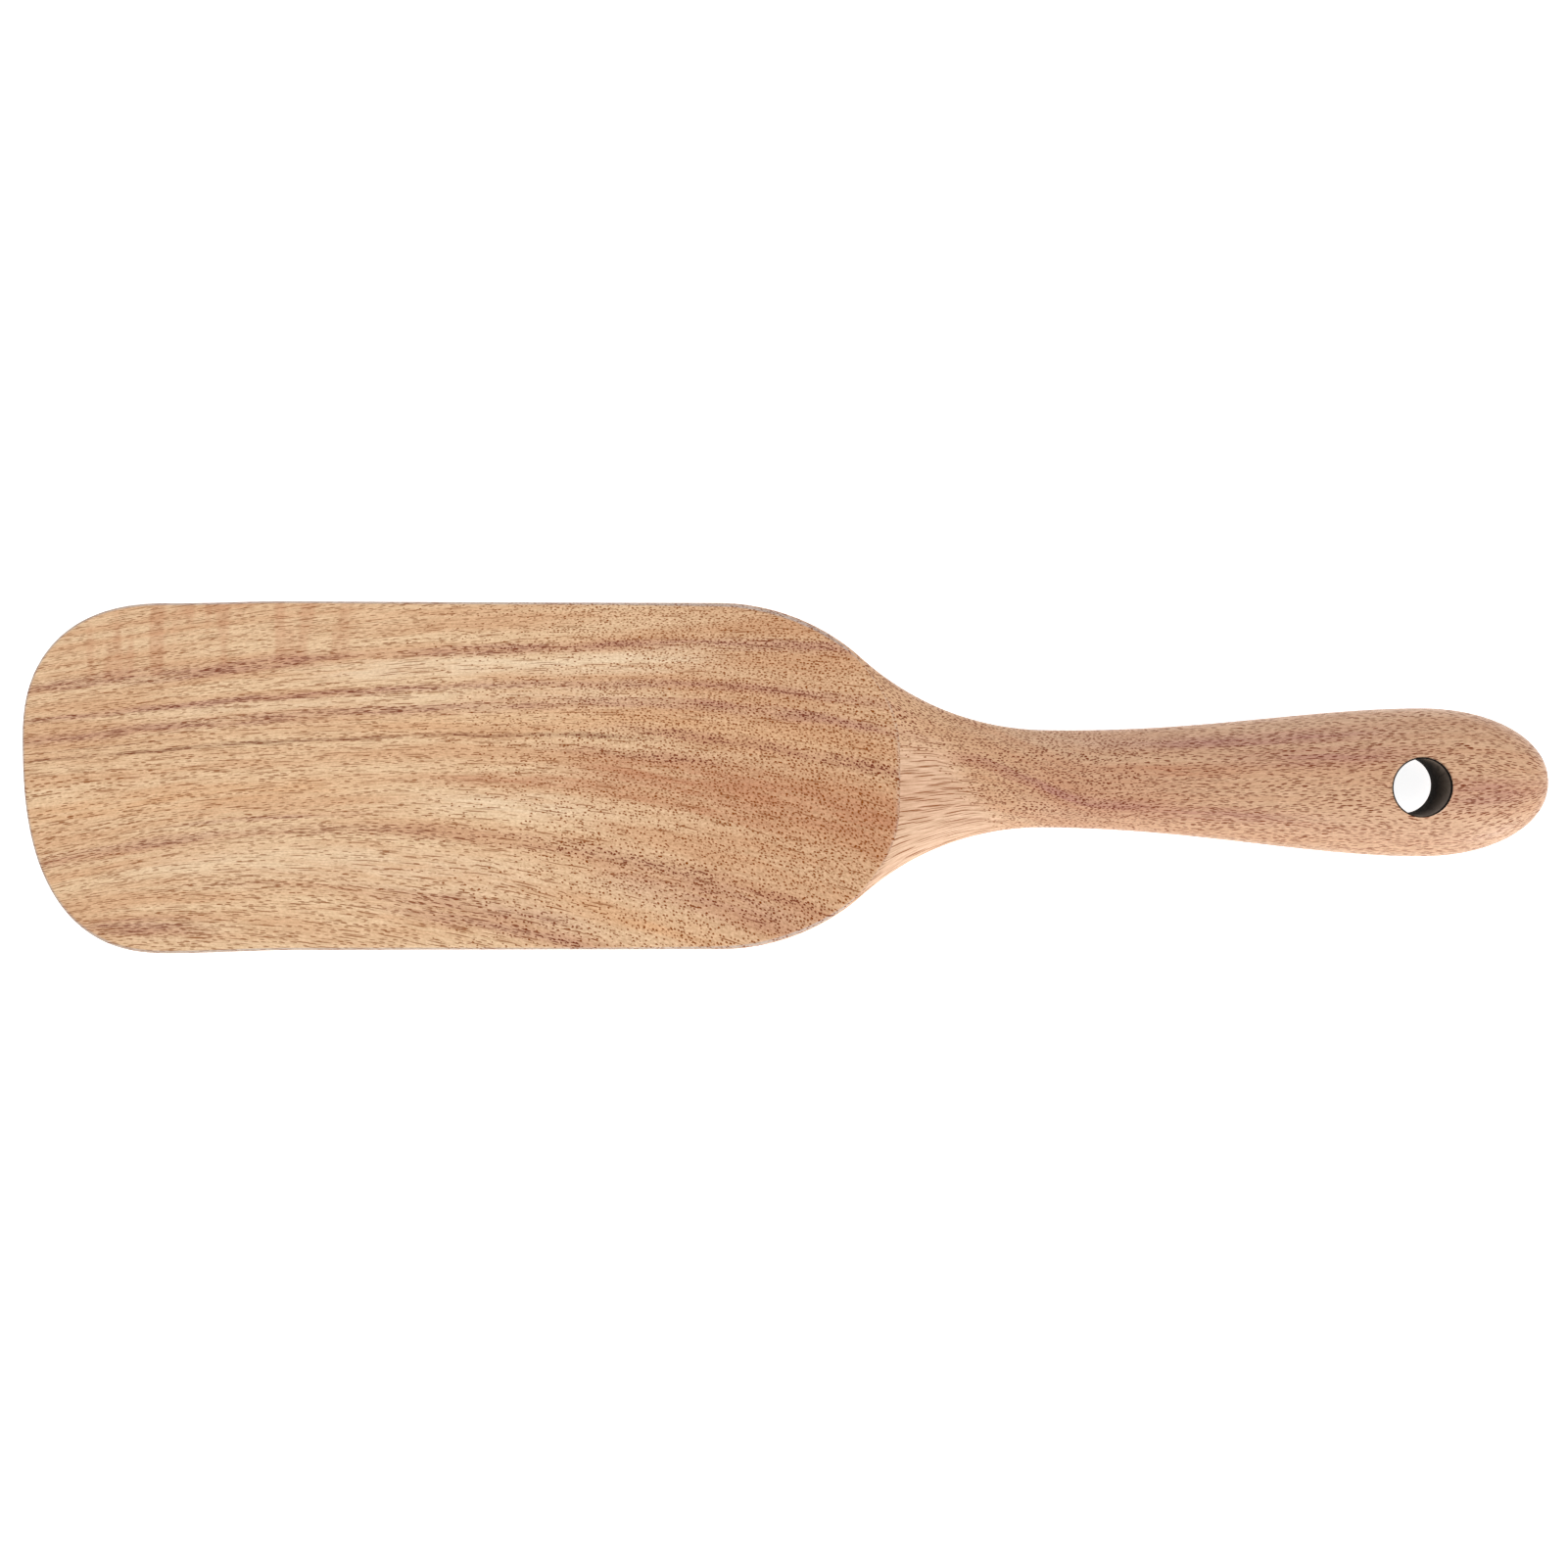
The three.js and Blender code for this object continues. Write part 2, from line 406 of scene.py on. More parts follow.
@dataclass(frozen=True)
class GrowthFigure:
    """The run of the growth layers and fibres through the board, in millimetres.

    On the blade each layer is an arch, named by the height of its top. On the handle the layers
    follow the sides and slip downwards where the neck dips.
    """

    apex_x: float = -53.0
    apex_lean: float = 2.0
    apex_middle: float = 9.0
    bend_to_root: float = 1.7e-3
    bend_to_tip: float = 5e-4
    bend_gain: float = 8e-5
    bend_level: float = 5.0
    handle_middle: float = 6.5
    handle_spread: float = 18.5
    neck_slip: float = 0.83
    slip_start: float = 40.0
    slip_end: float = 68.0
    fibre_width: float = 13.0
    fibre_pull: float = 0.55
    fibre_rise: float = 0.04
    layer_tilt: float = 0.9
    tilt_reach: float = 3.0
    under_shift: float = 0.8
    layer_rounds: int = 60
    layer_pull: float = 0.4
    bands: tuple[Band, ...] = (
        Band(Tone.MAUVE, 30.1, 1.8, -162, -132, 0.56),
        Band(Tone.MAUVE, 29.1, 1.8, -138, -92, 0.56),
        Band(Tone.MAUVE, 28.6, 1.2, -80, 24, 0.55),
        Band(Tone.CREAM, 24.9, 2.5, -97, -18, 0.85),
        Band(Tone.MAUVE, 20.2, 1.0, -162, -70, 0.56),
        Band(Tone.MAUVE, 20.2, 1.0, -74, 24, 0.46),
        Band(Tone.CREAM, 18.0, 1.3, -135, -30, 0.45),
        Band(Tone.MAUVE, 14.9, 1.5, -162, -100, 0.52),
        Band(Tone.MAUVE, 15.6, 1.1, -104, -44, 0.50),
        Band(Tone.MAUVE, 16.3, 1.0, -48, 28, 0.55),
        Band(Tone.HONEY, 12.5, 2.2, -85, 16, 0.48),
        Band(Tone.INK, 11.4, 0.25, -149, -137, 0.90),
        Band(Tone.INK, 9.2, 0.45, -162, -28, 0.54),
        Band(Tone.UMBER, 10.6, 0.9, -32, 30, 0.66),
        Band(Tone.RUST, 0.1, 1.4, -72, -34, 0.62),
        Band(Tone.RUST, 3.0, 4.2, -44, 40, 0.65),
        Band(Tone.RUST, 3.0, 2.0, -12, 40, 0.65),
        Band(Tone.UMBER, 6.6, 0.9, -48, -8, 0.45),
        Band(Tone.RUST, -1.3, 0.9, -42, 4, 0.52),
        Band(Tone.HONEY, -1.2, 2.3, -162, -90, 0.62),
        Band(Tone.CREAM, -4.8, 2.4, -76, -40, 0.62),
        Band(Tone.MAUVE, -7.6, 0.5, -128, -92, 0.40),
        Band(Tone.MAUVE, -11.0, 1.7, -160, -116, 0.42),
        Band(Tone.UMBER, -11.0, 1.4, -112, 12, 0.42),
        Band(Tone.CREAM, -17.5, 3.4, -136, -52, 0.50),
        Band(Tone.UMBER, -22.4, 1.5, -130, -84, 0.22),
        Band(Tone.MAUVE, -22.8, 1.9, -84, -40, 0.40),
        Band(Tone.MAUVE, -32.0, 2.4, -152, -126, 0.56),
        Band(Tone.MAUVE, -25.0, 1.3, -82, -26, 0.42),
        Band(Tone.HONEY, -19.6, 1.5, -44, -14, 0.70),
        Band(Tone.MAUVE, -14.0, 2.4, -34, 8, 0.42),
        Band(Tone.MAUVE, 12.6, 2.0, 42, 76, 1.00),
        Band(Tone.RUST, 13.0, 13.0, 46, 86, 0.45),
        Band(Tone.MAUVE, 35.7, 2.4, 72, 124, 0.80),
        Band(Tone.RUST, 25.6, 2.6, 68, 92, 0.60),
        Band(Tone.MAUVE, 29.3, 2.8, 98, 130, 0.75),
        Band(Tone.MAUVE, 19.0, 4.0, 138, 158, 0.85),
        Band(Tone.MAUVE, 10.8, 2.2, 80, 108, 0.65),
    )

    def blade_layer(self, x: Array, y: Array) -> Array:
        """Name of the arching layer that passes through each place on the blade.

        Args:
            x: Places along the length.
            y: Places across.

        Returns:
            Height of each layer's top.
        """
        layer = y.copy()
        for _ in range(self.layer_rounds):
            apex = self.apex_x + self.apex_lean * (layer - self.apex_middle)
            tip_bend = self.bend_to_tip + self.bend_gain * np.maximum(0, self.bend_level - layer)
            bend = np.where(x > apex, self.bend_to_root, tip_bend)
            layer = blend(layer, y + bend * (x - apex) ** 2, self.layer_pull)
        return layer

    def coordinates(self, points: Array, form: CarvedForm) -> dict[Carried, Array]:
        """Growth coordinates of points of the board.

        Args:
            points: The points.
            form: The carved form that the points lie on.

        Returns:
            For the blade and the handle the place along the fibres, the growth layer and the
            place across the fibres, and for the cut the depth under the top, the depth that was
            planed off and nothing.
        """
        x, y, z = points.T
        depth = np.minimum(form.face(x), form.crown(x)) - z
        lift = z - np.maximum(0, form.belly(x))
        planed = form.planed_depth(x, y)
        half_width = form.half_width(np.clip(x, form.nose_x, form.widest_x))
        aside = y - form.centre_line(x)
        tilt = self.layer_tilt * np.minimum(depth, lift) * np.tanh(aside / self.tilt_reach)
        tilt = tilt + self.under_shift * np.maximum(depth - lift, 0)
        blade = self.blade_layer(x, y) + tilt
        slip = self.neck_slip * ease(x, self.slip_start, self.slip_end)
        handle = self.handle_middle + self.handle_spread * (aside / half_width + slip) + tilt
        drawn = aside * (self.fibre_width / half_width) ** self.fibre_pull
        fibre = drawn - self.fibre_rise * x + tilt
        return {
            Carried.BLADE: np.column_stack([x, blade, blade]),
            Carried.HANDLE: np.column_stack([x, handle, fibre]),
            Carried.CUT: np.column_stack([depth, planed, np.zeros_like(depth)]),
        }


class NodeSheet:
    """The node tree of a material or of the world, with short ways to add and join its nodes."""

    def __init__(self, owner: Owner, shader: str = "Principled BSDF") -> None:
        """Opens the node tree.

        Args:
            owner: The new material or world.
            shader: Name of the shader that it starts with.
        """
        owner.use_nodes = True
        self.owner = owner
        self.tree = owner.node_tree
        self.shader = self.tree.nodes[shader]

    def feed(self, socket: Socket, value: Input) -> None:
        """Links a socket to another, or sets its value.

        Args:
            socket: The input.
            value: The output to link it to, its value, or its colour as a code.
        """
        if isinstance(value, bpy.types.NodeSocket):
            self.tree.links.new(value, socket)
        else:
            socket.default_value = colour_of(value) if isinstance(value, str) else value

    def surface(self, values: dict[str, Input]) -> None:
        """Feeds the inputs of the shader, by name."""
        for name, value in values.items():
            self.feed(self.shader.inputs[name], value)

    def add(self, kind: str, values: Inputs, **settings: str) -> bpy.types.Node:
        """Adds a node.

        Args:
            kind: Type of the node.
            values: What its inputs are fed, by number or name.
            settings: Its settings, by name.

        Returns:
            The node.
        """
        node = self.tree.nodes.new(kind)
        for name, setting in settings.items():
            setattr(node, name, setting)
        for key, value in values.items():
            self.feed(node.inputs[key], value)
        return node

    def attribute(self, carried: Carried) -> Socket:
        """Vector that the mesh carries."""
        return self.add("ShaderNodeAttribute", {}, attribute_name=carried.value).outputs["Vector"]

    def parts(self, vector: Socket) -> tuple[Socket, Socket, Socket]:
        """The three parts of a vector."""
        found = self.add("ShaderNodeSeparateXYZ", {0: vector}).outputs
        return found[0], found[1], found[2]

    def vector(self, x: Value, y: Value, z: Value = 0.0) -> Socket:
        """Vector of three parts."""
        return self.add("ShaderNodeCombineXYZ", {0: x, 1: y, 2: z}).outputs[0]

    def maths(self, operation: str, first: Value, second: Value = 0.0, third: Value = 0.0) -> Socket:
        """Result of an operation on values."""
        values = {0: first, 1: second, 2: third}
        return self.add("ShaderNodeMath", values, operation=operation).outputs[0]

    def times(self, first: Value, second: Value) -> Socket:
        """Product of two values."""
        return self.maths("MULTIPLY", first, second)

    def less(self, first: Value, second: Value) -> Socket:
        """Difference of two values."""
        return self.maths("SUBTRACT", first, second)

    def plus(self, first: Value, second: Value) -> Socket:
        """Sum of two values."""
        return self.maths("ADD", first, second)

    def most(self, first: Value, second: Value) -> Socket:
        """The larger of two values."""
        return self.maths("MAXIMUM", first, second)

    def line(self, value: Value, slope: Value, start: Value) -> Socket:
        """Start plus slope times a value."""
        return self.maths("MULTIPLY_ADD", value, slope, start)

    def step(self, value: Value, start: float, end: float, low: float = 0, high: float = 1) -> Socket:
        """Smooth step of a value from low at start to high at end."""
        values = {0: value, 1: start, 2: end, 3: low, 4: high}
        return self.add("ShaderNodeMapRange", values, interpolation_type="SMOOTHSTEP").outputs[0]

    def chosen(self, share: Value, first: Socket, second: Socket) -> Socket:
        """Vector between two vectors."""
        values = {0: share, 4: first, 5: second}
        return self.add("ShaderNodeMix", values, data_type="VECTOR").outputs[1]

    def mixed(self, share: Value, first: Paint, second: Paint, kind: str = "MIX") -> Socket:
        """Two colours mixed by a share."""
        values = {0: share, 6: first, 7: second}
        return self.add("ShaderNodeMix", values, data_type="RGBA", blend_type=kind).outputs[2]

    def bump(self, height: Socket, distance: float, strength: float) -> Socket:
        """Normal of a surface raised by a height from 0 to 1."""
        values = {"Strength": strength, "Distance": distance, "Height": height}
        return self.add("ShaderNodeBump", values).outputs[0]

    def seen_directly(self) -> Socket:
        """1 for rays from the camera, a reflection or through glass, 0 for those that only light others."""
        ray = self.add("ShaderNodeLightPath", {}).outputs
        return self.most(self.most(ray["Is Camera Ray"], ray["Is Glossy Ray"]), ray["Is Transmission Ray"])

    def counted(self, place: Place, lengths: Size) -> Place:
        """Places along and across, counted in lengths."""
        along, across = (self.maths("DIVIDE", part, length) for part, length in zip(place, lengths))
        return along, across

    def noise(self, place: Place, clouds: Clouds) -> Socket:
        """Cloudy noise from 0 to 1 on a surface.

        Args:
            place: Places along and across.
            clouds: The clouds.

        Returns:
            Socket of the noise.
        """
        node = self.add("ShaderNodeTexNoise", {"Scale": 1.0, "Detail": clouds.detail})
        along, across = self.counted(place, (clouds.along, clouds.across))
        self.feed(node.inputs["Vector"], self.vector(along, across, clouds.seed))
        return node.outputs[0]

    def cells(self, place: Place, lengths: Size) -> tuple[Socket, Socket, Socket]:
        """Distance to the nearest of many scattered points, and two random values of that point.

        Args:
            place: Places along and across.
            lengths: Spacing of the points along and across. Each row is shifted by chance.

        Returns:
            Sockets of the distance, in spacings, and of the two values.
        """
        along, across = self.counted(place, lengths)
        row = self.add("ShaderNodeTexWhiteNoise", {}, noise_dimensions="1D")
        self.feed(row.inputs["W"], self.maths("FLOOR", across))
        along = self.line(row.outputs["Value"], ROW_SHIFT, along)
        node = self.add("ShaderNodeTexVoronoi", {"Scale": 1.0}, voronoi_dimensions="2D")
        self.feed(node.inputs["Vector"], self.vector(along, across))
        chance, luck, _ = self.parts(node.outputs["Color"])
        return node.outputs["Distance"], chance, luck


@dataclass(frozen=True)
class PoreKind:
    """Spacing of pores along and across the fibres in millimetres, half size in spacings, and shares."""

    along: float
    across: float
    reach: float
    strength: float
    share: float
    more_at_tip: float = 0.0


class Pore(Enum):
    """Open pores as the cut leaves them, from round ends to long grooves."""

    DOT = PoreKind(0.78, 0.46, 0.35, 1.0, 0.62)
    SPOT = PoreKind(0.9, 0.47, 0.37, 1.0, 0.90)
    DASH = PoreKind(2.0, 0.36, 0.35, 1.0, 0.86)
    STROKE = PoreKind(2.3, 0.37, 0.32, 0.88, 0.55)
    HAIR = PoreKind(9.0, 0.42, 0.29, 0.8, 0.10, 0.35)
    NEEDLE = PoreKind(2.6, 0.40, 0.34, 0.9, 0.4, 1.3)
    GROOVE = PoreKind(9.0, 0.38, 0.32, 0.95, 0.68)


@dataclass(frozen=True)
class WoodFinish:
    """Bare sanded wood with arching growth bands, fine fibres and open pores, in millimetres."""

    figure: GrowthFigure
    tan: str = "deb187"
    straw: str = "ecc9a0"
    heart: str = "be8257"
    blush: str = "c49372"
    # Paler colour past the crease: partly the tone of the cut fibres there, partly painted light on the
    # slope.
    ramp_tone_and_light: str = "dfb698"
    pore: str = "844000"
    ring_pore: str = "702e18"
    # Painted sheen: pale grey laid along the blade's rounded-over edges in place of the light they catch.
    edge_sheen: str = "b8aaa2"
    roughness: float = 0.5
    gloss_in_rings: Step = (0.0, 0.6, 0.5, 0.35)
    oil: float = 0.3
    oil_roughness: float = 0.3
    wall_fade: Fade = (-25.0, 14.0)
    ramp_fade: Fade = (42.0, 33.0)
    ramp_slant: float = 0.7
    ramp_top_fade: Fade = (8.0, 1.5)
    tip_fade: Fade = (-15.0, -85.0)
    neck_fade: Fade = (88.0, 62.0)
    wander_clouds: Clouds = Clouds(30.0, 8.0)
    wander: float = 2.4
    ragged_clouds: Clouds = Clouds(6.0, 0.6, 2.0, 3.0)
    ragged: float = 1.0
    ground_clouds: Clouds = Clouds(44.0, 3.4, 3.0, 7.0)
    ground_step: Fade = (0.34, 0.66)
    heart_rise: Step = (-70.0, 18.0, 0.0, 0.46)
    blush_fade: Fade = (40.0, 64.0)
    blush_most: float = 0.62
    ramp_tone_and_light_most: float = 0.75
    band_rim: Fade = (1.6, 0.1)
    band_fade: float = 14.0
    patch_clouds: Clouds = Clouds(14.0, 1.3, 3.0, 11.0)
    patch_step: Step = (0.32, 0.62, 0.35, 1.0)
    ramp_calm: float = -0.75
    curl_clouds: Clouds = Clouds(4.5, 40.0, 1.0, 37.0)
    curl_step: Fade = (0.48, 0.60)
    curl_ends: tuple[Fade, Fade] = ((-158.0, -142.0), (-82.0, -98.0))
    curl_rise: Step = (27.0, 31.0, 0.0, 0.34)
    edge_sheen_fades: tuple[Fade, Fade] = ((0.02, 0.12), (1.1, 0.6))
    edge_sheen_most: float = 0.75
    streaks: Clouds = Clouds(10.0, 0.32, 3.0, 17.0)
    streak_shade: Step = (0.26, 0.74, -0.10, 0.10)
    short_flecks: Clouds = Clouds(0.7, 0.34, 2.0, 23.0)
    long_flecks: Clouds = Clouds(4.0, 0.28, 2.0, 41.0)
    fleck_shade: Step = (0.28, 0.72, -0.27, 0.15)
    fleck_drawn: float = 0.8
    tip_drawn: float = 0.6
    handle_drawn: float = 0.7
    shade_parts: tuple[float, float, float] = (0.8, 1.0, 1.25)
    crowd_clouds: Clouds = Clouds(16.0, 2.6, 2.0, 31.0)
    crowd_step: Step = (0.28, 0.72, -0.22, 0.22)
    crowd_in_dark: float = 0.55
    crowd_in_light: float = -0.60
    more_dots: Step = (-14.0, 2.0, 0.0, 0.26)
    sway_clouds: Clouds = Clouds(26.0, 9.0, 1.0, 29.0)
    blade_sway: float = 1.6
    handle_sway: float = 5.0
    pore_spread: float = 0.45
    pore_shrink: float = 0.6
    pore_rim: Fade = (1.3, 0.9)
    ring_depth: float = 0.25
    ring_pore_fade: Fade = (0.0, 0.5)
    handle_pore_most: float = 0.8
    pore_depth: float = 0.03 * MM
    pore_bump: float = 0.5

    def material(self) -> bpy.types.Material:
        """The finished material."""
        return WoodSheet(self).paint()


class WoodSheet(NodeSheet):
    """The wood's node tree, with the sockets that say where a place lies, in millimetres."""

    def __init__(self, finish: WoodFinish) -> None:
        """Finds where each place lies: on the blade or beyond the crease, and how the fibres run there.

        Args:
            finish: The finish to paint.
        """
        super().__init__(bpy.data.materials.new("bare_wood"))
        self.finish = finish
        self.depth, planed, _ = self.parts(self.attribute(Carried.CUT))
        blade = self.attribute(Carried.BLADE)
        self.along, _, _ = self.parts(blade)
        unplaned = self.maths("LESS_THAN", planed, 0.0)
        self.beyond = self.times(unplaned, self.step(self.along, *finish.wall_fade))
        self.on_blade = self.less(1.0, self.beyond)
        growth = self.chosen(self.beyond, blade, self.attribute(Carried.HANDLE))
        _, self.true_layer, self.fibre = self.parts(growth)
        self.layer = self.true_layer
        for clouds, most in ((finish.wander_clouds, finish.wander), (finish.ragged_clouds, finish.ragged)):
            self.layer = self.plus(self.layer, self.line(self.by_fibre(clouds), most, -most / 2))
        past_crease = self.line(self.fibre, finish.ramp_slant, self.along)
        ramp = self.times(self.beyond, self.step(past_crease, *finish.ramp_fade))
        self.ramp = self.times(ramp, self.step(self.fibre, *finish.ramp_top_fade))
        self.past_ramp = self.less(self.beyond, self.ramp)
        self.tip = self.times(self.step(self.along, *finish.tip_fade), self.on_blade)

    def by_fibre(self, clouds: Clouds) -> Socket:
        """Noise that follows the fibres."""
        return self.noise((self.along, self.fibre), clouds)

    def by_layer(self, clouds: Clouds) -> Socket:
        """Noise that follows the growth layers."""
        return self.noise((self.along, self.layer), clouds)

    def ground(self) -> Socket:
        """Colour of the wood without its bands and pores, with the slope past the crease paler, partly from
        painted light.

        Returns:
            Socket of the colour.
        """
        finish = self.finish
        cloud = self.step(self.by_layer(finish.ground_clouds), *finish.ground_step)
        colour = self.mixed(cloud, finish.tan, finish.straw)
        heart = self.step(self.along, *finish.heart_rise)
        past_heart = self.most(self.ramp, self.step(self.along, *finish.blush_fade))
        heart = self.times(heart, self.less(1.0, self.times(self.beyond, past_heart)))
        colour = self.mixed(heart, colour, finish.heart)
        blush = self.times(self.step(self.along, *finish.blush_fade, 0.0, finish.blush_most), self.beyond)
        colour = self.mixed(blush, colour, finish.blush)
        # The slope past the crease is made paler: partly its own fibre tone, partly painted light where it
        # tilts towards the lamps.
        return self.mixed(self.times(self.ramp, finish.ramp_tone_and_light_most), colour, finish.ramp_tone_and_light)

    def band_amount(self, band: Band) -> Socket:
        """How much of one band shows at each place.

        Args:
            band: The band.

        Returns:
            Socket of the amount, from 0 to the band's strength.
        """
        fade = self.finish.band_fade
        outer, inner = (band.half_width * share for share in self.finish.band_rim)
        off = self.maths("ABSOLUTE", self.less(self.layer, band.across))
        profile = self.step(off, outer, inner, 0.0, band.strength)
        starts = self.step(self.along, band.start - fade, band.start + fade)
        ends = self.step(self.along, band.end + fade, band.end - fade)
        return self.times(profile, self.times(starts, ends))

    def tone_amounts(self) -> dict[Tone, Socket]:
        """How much of each tone shows at each place.

        Returns:
            Socket of each tone's amount.
        """
        finish = self.finish
        broken = self.step(self.by_layer(finish.patch_clouds), *finish.patch_step)
        broken = self.times(broken, self.line(self.ramp, finish.ramp_calm, 1.0))
        amounts: dict[Tone, Socket] = {}
        for band in finish.figure.bands:
            amounts[band.tone] = self.most(amounts.get(band.tone, 0.0), self.band_amount(band))
        return {tone: self.times(amount, broken) for tone, amount in amounts.items()}

    def banded(self, colour: Socket, amounts: dict[Tone, Socket]) -> Socket:
        """Colour with the curl near the tip, the growth bands and a painted pale-grey sheen along the
        rounded-over edges of the blade.

        Args:
            colour: Colour of the ground.
            amounts: How much of each tone shows.

        Returns:
            Socket of the colour.
        """
        finish = self.finish
        curl = self.step(self.by_layer(finish.curl_clouds), *finish.curl_step)
        for fade in finish.curl_ends:
            curl = self.times(curl, self.step(self.along, *fade))
        curl = self.times(curl, self.step(self.true_layer, *finish.curl_rise))
        colour = self.mixed(curl, colour, Tone.RUST.value)
        for tone in Tone:
            colour = self.mixed(amounts[tone], colour, tone.value)
        # Painted sheen: pale grey mixed into a thin band just under the blade's top, along its rounded-over
        # edge.
        edge_sheen = self.times(self.on_blade, finish.edge_sheen_most)
        for fade in finish.edge_sheen_fades:
            edge_sheen = self.times(edge_sheen, self.step(self.depth, *fade))
        return self.mixed(edge_sheen, colour, finish.edge_sheen)

    def fibred(self, colour: Socket) -> Socket:
        """Colour with the fine light and dark of the fibres.

        Args:
            colour: Colour of the ground with its bands.

        Returns:
            Socket of the colour.
        """
        finish = self.finish
        short = self.by_fibre(finish.short_flecks)
        long = self.by_fibre(finish.long_flecks)
        drawn = self.most(self.times(self.tip, finish.tip_drawn), self.ramp)
        drawn = self.most(drawn, self.times(self.beyond, finish.handle_drawn))
        fleck = self.line(self.times(drawn, finish.fleck_drawn), self.less(long, short), short)
        shade = self.step(fleck, *finish.fleck_shade)
        streak = self.step(self.by_fibre(finish.streaks), *finish.streak_shade)
        shade = self.plus(shade, streak)
        shares = [self.line(shade, part, 1.0) for part in finish.shade_parts]
        return self.mixed(1.0, colour, self.vector(*shares), "MULTIPLY")

    def pores(self, pore: Pore, across: Socket, share: Value) -> Socket:
        """Open pores of one kind.

        Args:
            pore: The kind of pore.
            across: Places across the fibres.
            share: Share of the pores that show.

        Returns:
            Socket that is up to 1 in a pore and 0 elsewhere.
        """
        finish, kind = self.finish, pore.value
        distance, chance, luck = self.cells((self.along, across), (kind.along, kind.across))
        shown = self.maths("LESS_THAN", chance, share)
        fainter = self.line(luck, -finish.pore_spread * kind.strength, kind.strength)
        smaller = self.line(luck, finish.pore_shrink * kind.reach, distance)
        outer, inner = (kind.reach * part for part in finish.pore_rim)
        return self.times(self.times(shown, fainter), self.step(smaller, outer, inner))

    def pore_shares(self, dark: Socket, light: Socket) -> dict[Pore, Socket]:
        """Share of each kind of pore that shows: more in dark bands, fewer in light ones.

        Args:
            dark: Amount of the dark bands.
            light: Amount of the light bands.

        Returns:
            Socket of each kind's share.
        """
        finish = self.finish
        crowd = self.step(self.by_fibre(finish.crowd_clouds), *finish.crowd_step)
        crowd = self.line(dark, finish.crowd_in_dark, crowd)
        crowd = self.line(light, finish.crowd_in_light, crowd)
        on_neck = self.times(self.past_ramp, self.step(self.along, *finish.neck_fade))
        more_dots = self.step(self.true_layer, *finish.more_dots)
        places = {
            Pore.DOT: (self.less(self.on_blade, self.tip), self.plus(crowd, more_dots)),
            Pore.SPOT: (on_neck, crowd),
            Pore.DASH: (self.less(self.past_ramp, on_neck), crowd),
            Pore.STROKE: (self.tip, crowd),
            Pore.GROOVE: (self.ramp, crowd),
        }
        shares: dict[Pore, Socket] = {}
        for pore, (at, more) in places.items():
            shares[pore] = self.times(at, self.plus(more, pore.value.share))
        for pore, at in ((Pore.HAIR, self.on_blade), (Pore.NEEDLE, self.times(self.on_blade, dark))):
            shares[pore] = self.times(at, self.line(self.tip, pore.value.more_at_tip, pore.value.share))
        return shares

    def open_pores(self, dark: Socket, light: Socket) -> Socket:
        """Open pores of all kinds.

        Args:
            dark: Amount of the dark bands.
            light: Amount of the light bands.

        Returns:
            Socket that is up to 1 in a pore and 0 elsewhere.
        """
        finish = self.finish
        sway = self.line(self.past_ramp, finish.handle_sway - finish.blade_sway, finish.blade_sway)
        across = self.line(self.by_fibre(finish.sway_clouds), sway, self.fibre)
        found: Value = 0.0
        for pore, share in self.pore_shares(dark, light).items():
            found = self.most(found, self.pores(pore, across, share))
        deeper = self.times(found, self.line(dark, finish.ring_depth, 1.0))
        return self.maths("MINIMUM", deeper, 1.0)

    def paint(self) -> bpy.types.Material:
        """Paints the ground, its bands and fibres, and the pores.

        Returns:
            The finished material.
        """
        finish = self.finish
        amounts = self.tone_amounts()
        dark = self.most(amounts[Tone.MAUVE], self.most(amounts[Tone.INK], amounts[Tone.UMBER]))
        colour = self.fibred(self.banded(self.ground(), amounts))
        pores = self.open_pores(dark, amounts[Tone.CREAM])
        in_ring = self.step(dark, *finish.ring_pore_fade)
        deeper = self.most(in_ring, self.times(self.past_ramp, finish.handle_pore_most))
        colour = self.mixed(pores, colour, self.mixed(deeper, finish.pore, finish.ring_pore))
        relief = self.less(1.0, pores)
        gloss = self.step(dark, *finish.gloss_in_rings)
        self.surface({
            "Base Color": colour,
            "Specular IOR Level": self.times(relief, gloss),
            "Roughness": finish.roughness,
            "Coat Weight": self.times(self.times(self.past_ramp, finish.oil), relief),
            "Coat Roughness": finish.oil_roughness,
            "Normal": self.bump(relief, finish.pore_depth, finish.pore_bump),
        })
        return self.owner


@dataclass(frozen=True)
class HoleFinish:
    """Dark burnished wall of the hanging hole, with painted shade deeper in the hole, in millimetres."""

    soot: str = "0f0c0a"
    brown: str = "84766a"
    # Near black painted lower down the hole as shade in the recess.
    painted_shade: str = "231d18"
    roughness: float = 0.9
    gloss: float = 0.1
    painted_shade_fade: Fade = (2.0, 16.0)
    soot_clouds: Clouds = Clouds(1.4, 2.2, 4.0)
    soot_step: Step = (0.45, 0.75, 0.0, 0.5)
    rim_fade: Fade = (0.91, 0.49)
    soot_depth: float = 0.05 * MM
    soot_bump: float = 0.5

    def material(self) -> bpy.types.Material:
        """Paints the wall.

        Returns:
            The finished material.
        """
        sheet = NodeSheet(bpy.data.materials.new("burnished_hole_wall"))
        along, _, fibre = sheet.parts(sheet.attribute(Carried.HANDLE))
        depth, _, _ = sheet.parts(sheet.attribute(Carried.CUT))
        # Painted shade: the wall darkens from brown near the top towards near black lower down.
        colour = sheet.mixed(sheet.step(depth, *self.painted_shade_fade), self.brown, self.painted_shade)
        cloud = sheet.noise((along, fibre), self.soot_clouds)
        colour = sheet.mixed(sheet.step(cloud, *self.soot_step), colour, self.soot)
        sheet.surface({
            "Base Color": sheet.mixed(sheet.step(depth, *self.rim_fade), colour, self.soot),
            "Roughness": self.roughness,
            "Specular IOR Level": self.gloss,
            "Normal": sheet.bump(cloud, self.soot_depth, self.soot_bump),
        })
        return sheet.owner


